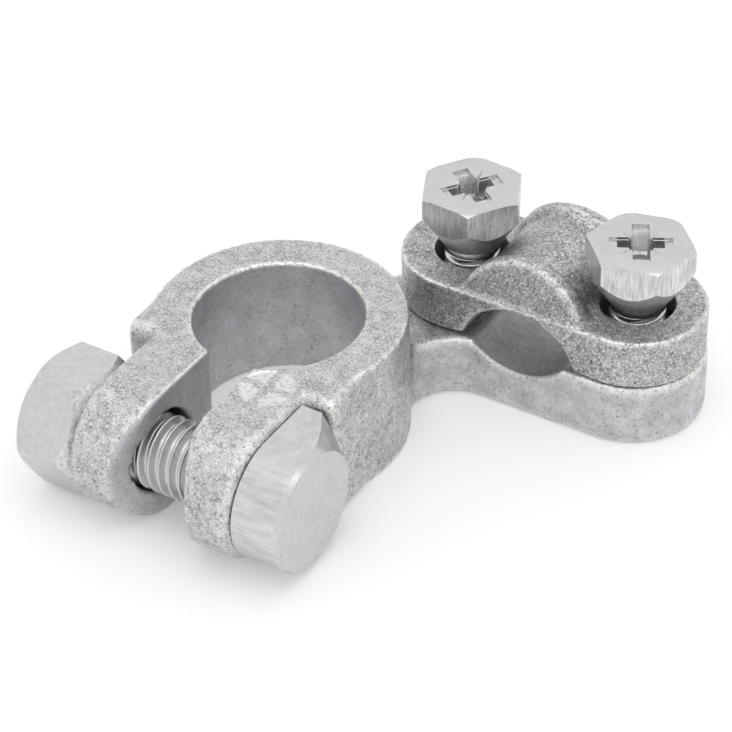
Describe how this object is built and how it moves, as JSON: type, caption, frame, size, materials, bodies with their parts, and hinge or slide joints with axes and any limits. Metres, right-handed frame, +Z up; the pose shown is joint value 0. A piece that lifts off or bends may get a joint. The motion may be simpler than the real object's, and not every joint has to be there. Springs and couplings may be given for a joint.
{
  "type": "battery terminal clamp",
  "caption": "Battery post clamp: a split ring with jaws closed by a bolt and nut, and a base plate beside it where a screwed saddle grips the cable.",
  "frame": {"origin": "on the axis of the post bore, at the underside of the ring", "axes": "+Z up along the post bore, +X along the clamp bolt from the nut to the bolt head, +Y from the jaws towards the cable saddle"},
  "size_m": [0.0547, 0.0543, 0.0206],
  "materials": {
    "clamp_body": "matt tin plate on a casting",
    "saddle": "matt tin plate on a casting",
    "clamp_bolt": "bright zinc plate",
    "clamp_nut": "bright zinc plate",
    "screw_left": "bright zinc plate",
    "screw_right": "bright zinc plate"
  },
  "bodies": {
    "clamp": {"clamp_body": "clamp_body"},
    "nut": {"clamp_nut": "clamp_nut"},
    "bolt": {"clamp_bolt": "clamp_bolt"},
    "saddle": {"saddle": "saddle"},
    "screw_left": {"screw_left": "screw_left"},
    "screw_right": {"screw_right": "screw_right"}
  },
  "joints": [
    {"name": "nut_turn", "type": "hinge", "parent": "clamp", "child": "nut", "pos_m": [-0.013, -0.017, 0.00715], "axis": [-1, 0, 0], "range_deg": [0, 1296]},
    {"name": "bolt_draw", "type": "slide", "parent": "clamp", "child": "bolt", "axis": [1, 0, 0], "range_m": [0, 0.0046]},
    {"name": "saddle_lift", "type": "slide", "parent": "clamp", "child": "saddle", "axis": [0, 0, 1], "range_m": [0, 0.006]},
    {"name": "screw_left_turn", "type": "hinge", "parent": "saddle", "child": "screw_left", "pos_m": [0.0102, 0.0218, 0.0179], "axis": [0, 0, 1], "range_deg": [0, 2165]},
    {"name": "screw_right_turn", "type": "hinge", "parent": "saddle", "child": "screw_right", "pos_m": [0.0299, 0.0218, 0.0172], "axis": [0, 0, 1], "range_deg": [0, 2165]}
  ],
  "couplings": [
    {"joint": "bolt_draw", "follows": "nut_turn", "m_per_rad": 0.00019894},
    {"joint": "screw_left_turn", "follows": "saddle_lift", "rad_per_m": 6283.2},
    {"joint": "screw_right_turn", "follows": "saddle_lift", "rad_per_m": 6283.2}
  ]
}
